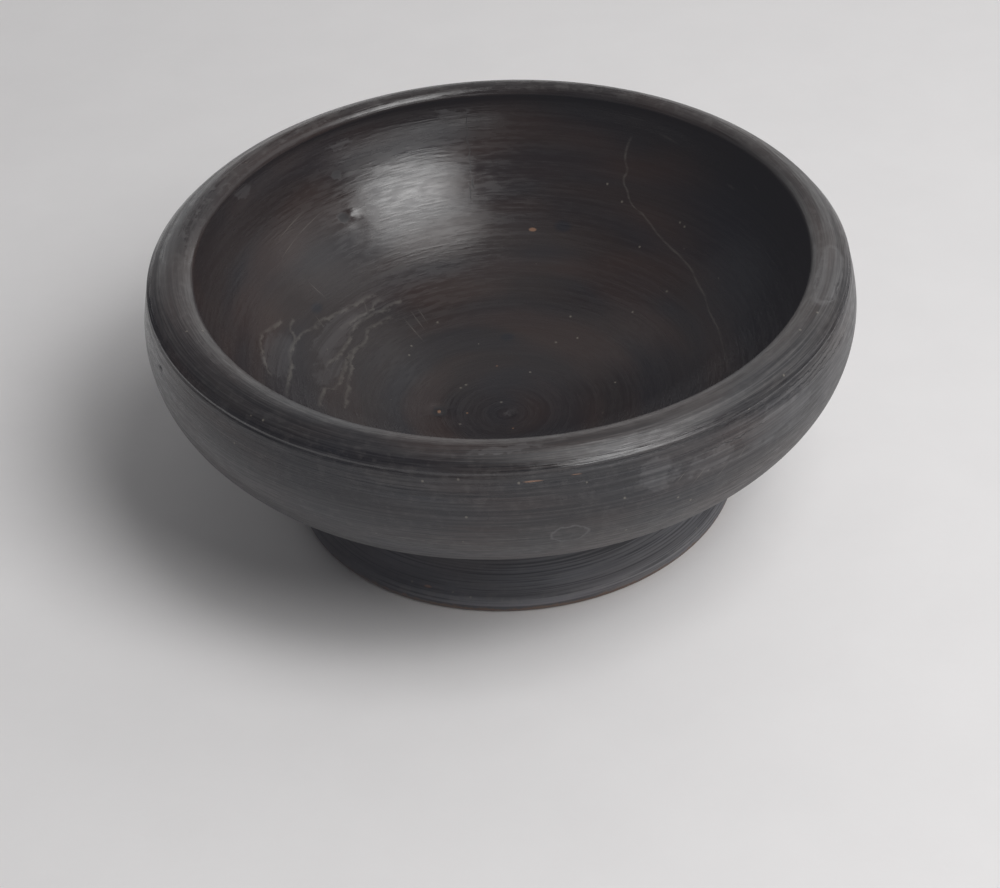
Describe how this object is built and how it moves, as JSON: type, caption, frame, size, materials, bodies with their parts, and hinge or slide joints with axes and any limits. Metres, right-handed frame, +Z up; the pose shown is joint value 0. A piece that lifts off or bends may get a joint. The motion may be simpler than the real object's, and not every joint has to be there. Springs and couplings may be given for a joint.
{
  "type": "footed bowl",
  "caption": "Small footed bowl of black-slipped terracotta with a thick rounded rim, incurving mouth and flaring ring foot, hollow beneath.",
  "frame": {"origin": "middle of the circle that the ring foot rests on", "axes": "+Z up along the axis the bowl was turned about"},
  "size_m": [0.112, 0.112, 0.0445],
  "materials": {
    "black_slip": "wheel-burnished black slip with a satin gloss"
  },
  "bodies": {
    "root": {"bowl": "black_slip"}
  },
  "joints": []
}
